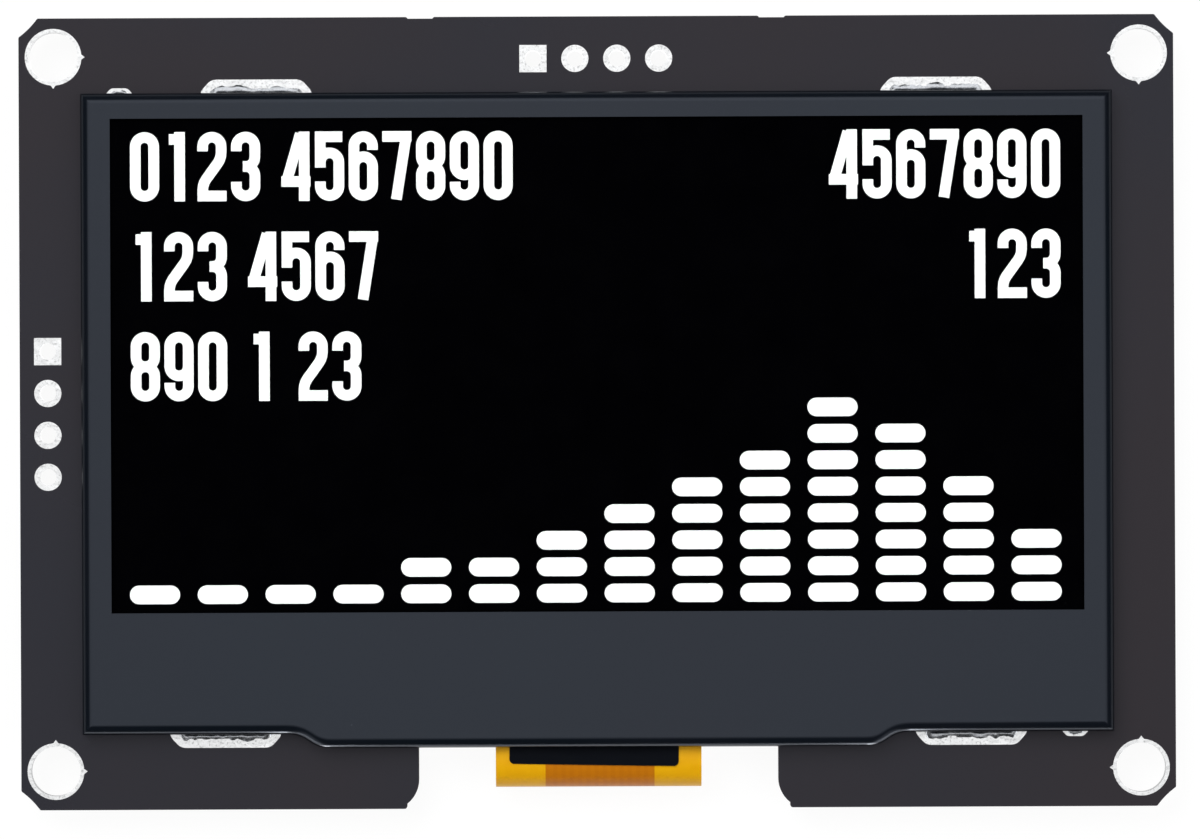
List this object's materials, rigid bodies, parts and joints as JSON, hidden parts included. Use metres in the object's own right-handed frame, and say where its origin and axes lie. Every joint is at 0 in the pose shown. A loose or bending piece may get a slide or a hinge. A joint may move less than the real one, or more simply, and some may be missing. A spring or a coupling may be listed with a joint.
{
  "type": "small oled display module",
  "caption": "Small monochrome display module: glass panel in a stamped black frame on a black circuit board, with a folded flat cable into a locking socket on the back.",
  "frame": {"origin": "centre of the four mounting holes, on the board's back face, where standoffs bear", "axes": "+X right along the board's long edge, +Y up towards the top header, +Z out of the screen"},
  "size_m": [0.07, 0.048, 0.0061],
  "materials": {
    "board_black": "black solder mask on glass-fibre laminate",
    "tinned_plating": "bright tinned copper",
    "frame_black": "thin satin black coat on sheet steel",
    "solder": "solder",
    "polariser": "black circular polariser",
    "clear_glass": "clear sheet glass",
    "lit_film": "light-emitting film",
    "seal": "cured sealing resin",
    "desiccant": "white desiccant sheet",
    "silicon": "bare silicon",
    "foam": "black foam tape",
    "polyimide": "amber polyimide film over copper",
    "stiffener": "polyimide stiffener",
    "black_tape": "black insulating tape",
    "socket_ivory": "moulded ivory polymer",
    "slider_brown": "moulded dark polymer",
    "contact_gold": "gold-plated spring bronze",
    "lead_tin": "tinned lead",
    "ferrite": "pressed ferrite",
    "coil_enamel": "enamelled copper wire",
    "chip_mould": "black moulding compound",
    "tantalum_mould": "orange moulding compound",
    "ceramic_tan": "fired ceramic",
    "ceramic_white": "white alumina",
    "legend_ink": "printed white legend ink",
    "resistor_glaze": "black glaze"
  },
  "bodies": {
    "module": {"board": "board_black", "mount_plating": "tinned_plating", "top_header_plating": "tinned_plating", "side_header_plating": "tinned_plating", "slot_plating": "tinned_plating", "frame": "frame_black", "tab_solder": "solder", "polariser": "polariser", "front_glass": "clear_glass", "organic_film": "lit_film", "glass_seal": "seal", "desiccant": "desiccant", "cap_glass": "clear_glass", "driver_chip": "silicon", "foam_tape": "foam", "flat_cable": "polyimide", "cable_stiffener": "stiffener", "cable_tape": "black_tape", "socket_housing": "socket_ivory", "socket_contacts": "contact_gold", "socket_anchors": "lead_tin", "inductor_core": "ferrite", "inductor_coil": "coil_enamel", "inductor_terminals": "lead_tin", "boost_chip": "chip_mould", "boost_chip_leads": "lead_tin", "regulator": "chip_mould", "regulator_leads": "lead_tin", "transistors": "chip_mould", "transistor_leads": "lead_tin", "diode": "chip_mould", "diode_leads": "lead_tin", "tantalum_capacitor": "tantalum_mould", "tantalum_terminals": "lead_tin", "ceramic_capacitors": "ceramic_tan", "capacitor_terminals": "lead_tin", "resistors": "ceramic_white", "resistor_films": "resistor_glaze", "resistor_terminals": "lead_tin", "smd_solder": "solder"},
    "lock_slider": {"socket_slider": "slider_brown"}
  },
  "joints": [
    {"name": "lock_slide", "type": "slide", "parent": "module", "child": "lock_slider", "axis": [0, -1, 0], "range_m": [0, 0.0012]}
  ]
}
